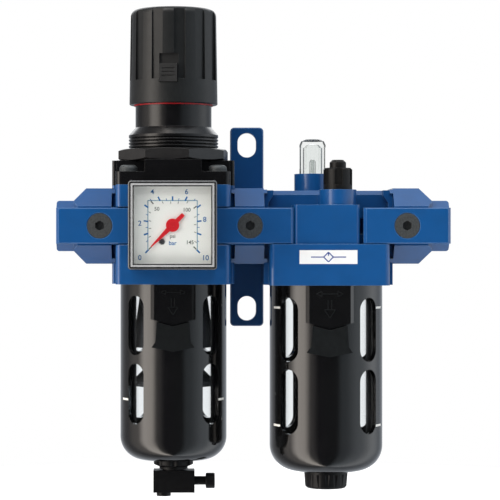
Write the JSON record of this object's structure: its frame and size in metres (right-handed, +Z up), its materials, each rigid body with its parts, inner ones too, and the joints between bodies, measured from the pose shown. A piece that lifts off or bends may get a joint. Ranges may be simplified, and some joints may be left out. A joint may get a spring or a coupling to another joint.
{
  "type": "filter regulator lubricator",
  "caption": "Compressed-air service set on a wall bracket: filter regulator with knob, square gauge and drain, joined to a lubricator with sight dome and guarded bowl.",
  "frame": {"origin": "middle of the bracket's two wall slots, on its rear face", "axes": "+X from inlet to outlet, +Y into the wall, +Z up along the bowls"},
  "size_m": [0.181, 0.087, 0.228],
  "materials": {
    "blue_paint": "semi-gloss epoxy paint on die-cast metal",
    "bonnet_black": "gloss moulded",
    "nut_black": "satin moulded",
    "knob_black": "satin moulded",
    "tab_black": "satin moulded",
    "red_ring": "satin moulded",
    "guard_black": "gloss black enamel",
    "button_black": "fine moulded texture",
    "clear_bowl": "clear polycarbonate",
    "clear_dome": "clear polycarbonate",
    "clear_lens": "clear acrylic",
    "drain_black": "moulded",
    "plug_black": "moulded",
    "screw_black": "black oxide",
    "steel": "turned",
    "spring_steel": "drawn wire",
    "rubber": "smooth",
    "brass": "turned",
    "aluminium": "turned",
    "white_plastic": "sintered porous",
    "grey_plastic": "moulded",
    "sintered": "sintered",
    "gauge_black": "gloss moulded",
    "gauge_rim": "bright trim on dark moulding",
    "dial_white": "matt enamel",
    "needle_red": "satin enamel"
  },
  "bodies": {
    "frame": {"mounting_bracket": "blue_paint", "inlet_port_block": "blue_paint", "outlet_port_block": "blue_paint", "inlet_clamp_plate": "blue_paint", "centre_clamp_plate": "blue_paint", "outlet_clamp_plate": "blue_paint", "clamp_screws": "screw_black", "module_seals": "rubber", "regulator_body": "blue_paint", "bonnet": "bonnet_black", "bonnet_screws": "screw_black", "panel_nut": "nut_black", "unlocked_ring": "red_ring", "diaphragm": "rubber", "valve_guide": "grey_plastic", "swirl_deflector": "grey_plastic", "filter_element": "white_plastic", "quiet_zone_baffle": "grey_plastic", "rear_port_plug": "steel", "gauge_case": "gauge_black", "gauge_bezel": "gauge_rim", "gauge_lens": "clear_lens", "gauge_dial": "dial_white", "gauge_zero_stop": "steel", "gauge_movement_frame": "brass", "bourdon_tube": "brass", "gauge_socket": "brass", "gauge_gasket": "rubber", "lubricator_body": "blue_paint", "drip_nozzle": "grey_plastic", "siphon_tube": "grey_plastic", "siphon_strainer": "sintered"},
    "spindle": {"adjusting_spindle": "steel"},
    "knob": {"knob": "knob_black"},
    "lock_tab": {"knob_lock_tab": "tab_black"},
    "spring_nut": {"spring_nut": "brass", "regulating_spring": "spring_steel"},
    "valve": {"diaphragm_plate": "aluminium", "valve_poppet": "brass", "valve_spring": "spring_steel"},
    "sector": {"gauge_sector": "brass"},
    "needle": {"gauge_needle": "needle_red", "gauge_pinion": "brass"},
    "filter_bowl_unit": {"filter_bowl": "clear_bowl", "filter_bowl_oring": "rubber", "filter_guard": "guard_black", "drain_nut": "drain_black", "drain_body": "drain_black"},
    "filter_button": {"filter_lock_button": "button_black"},
    "drain_pin": {"drain_pin": "rubber"},
    "drain_screw": {"drain_thumbscrew": "drain_black"},
    "lubricator_bowl_unit": {"lubricator_bowl": "clear_bowl", "lubricator_bowl_oring": "rubber", "lubricator_guard": "guard_black"},
    "lubricator_button": {"lubricator_lock_button": "button_black"},
    "bottom_plug": {"bottom_plug": "drain_black"},
    "sight_dome": {"sight_dome": "clear_dome"},
    "fill_plug": {"fill_plug": "plug_black"},
    "vent_button": {"vent_button": "plug_black"},
    "flow_vane": {"flow_vane": "rubber"}
  },
  "joints": [
    {"name": "knob_turn", "type": "hinge", "parent": "frame", "child": "spindle", "pos_m": [-0.0352, -0.031, 0.048], "axis": [0, 0, 1], "range_deg": [-1440, 0]},
    {"name": "knob_push", "type": "slide", "parent": "spindle", "child": "knob", "axis": [0, 0, 1], "range_m": [-0.003, 0]},
    {"name": "lock_tab_slide", "type": "slide", "parent": "knob", "child": "lock_tab", "axis": [0, 0, 1], "range_m": [0, 0.004]},
    {"name": "spring_nut_travel", "type": "slide", "parent": "frame", "child": "spring_nut", "axis": [0, 0, 1], "range_m": [-0.006, 0], "deforming": ["regulating_spring"]},
    {"name": "valve_travel", "type": "slide", "parent": "frame", "child": "valve", "axis": [0, 0, 1], "range_m": [-0.002, 0], "stiffness_N_per_m": 1500, "springref_m": 0.002, "deforming": ["valve_spring"]},
    {"name": "sector_swing", "type": "hinge", "parent": "frame", "child": "sector", "pos_m": [-0.04538, -0.073, -0.01018], "axis": [0, 1, 0], "range_deg": [-54, 0], "stiffness_Nm_per_rad": 0.0005, "springref_deg": 11.46},
    {"name": "needle_turn", "type": "hinge", "parent": "frame", "child": "needle", "pos_m": [-0.0352, -0.073, 0], "axis": [0, 1, 0], "range_deg": [0, 270]},
    {"name": "filter_bowl_turn", "type": "hinge", "parent": "frame", "child": "filter_bowl_unit", "pos_m": [-0.0352, -0.031, -0.027], "axis": [0, 0, 1], "range_deg": [0, 45]},
    {"name": "filter_button_slide", "type": "slide", "parent": "filter_bowl_unit", "child": "filter_button", "axis": [0, 0, 1], "range_m": [-0.004, 0], "stiffness_N_per_m": 400, "springref_m": 0.002},
    {"name": "drain_travel", "type": "slide", "parent": "filter_bowl_unit", "child": "drain_pin", "axis": [1, 0, 0], "range_m": [0, 0.002]},
    {"name": "drain_turn", "type": "hinge", "parent": "drain_pin", "child": "drain_screw", "pos_m": [-0.0252, -0.031, -0.1194], "axis": [1, 0, 0], "range_deg": [0, 720]},
    {"name": "lubricator_bowl_turn", "type": "hinge", "parent": "frame", "child": "lubricator_bowl_unit", "pos_m": [0.0364, -0.031, -0.027], "axis": [0, 0, 1], "range_deg": [0, 45]},
    {"name": "lubricator_button_slide", "type": "slide", "parent": "lubricator_bowl_unit", "child": "lubricator_button", "axis": [0, 0, 1], "range_m": [-0.004, 0], "stiffness_N_per_m": 400, "springref_m": 0.002},
    {"name": "bottom_plug_turn", "type": "hinge", "parent": "lubricator_bowl_unit", "child": "bottom_plug", "pos_m": [0.0364, -0.031, -0.118], "axis": [0, 0, -1], "range_deg": [0, 720]},
    {"name": "sight_dome_turn", "type": "hinge", "parent": "frame", "child": "sight_dome", "pos_m": [0.0305, -0.025, 0.03], "axis": [0, 0, 1], "range_deg": [0, 360]},
    {"name": "fill_plug_turn", "type": "hinge", "parent": "frame", "child": "fill_plug", "pos_m": [0.0407, -0.049, 0.02], "axis": [0, 0, 1], "range_deg": [0, 720]},
    {"name": "vent_button_press", "type": "slide", "parent": "fill_plug", "child": "vent_button", "axis": [0, 0, 1], "range_m": [-0.002, 0], "stiffness_N_per_m": 400, "springref_m": 0.002},
    {"name": "flow_vane_swing", "type": "hinge", "parent": "frame", "child": "flow_vane", "pos_m": [0.0364, -0.031, 0.005], "axis": [0, -1, 0], "range_deg": [0, 50], "stiffness_Nm_per_rad": 0.002, "springref_deg": -5.73}
  ],
  "couplings": [
    {"joint": "spring_nut_travel", "follows": "knob_turn", "m_per_rad": 0.00023873},
    {"joint": "needle_turn", "follows": "sector_swing", "ratio": -5},
    {"joint": "drain_turn", "follows": "drain_travel", "rad_per_m": 6283.2}
  ]
}
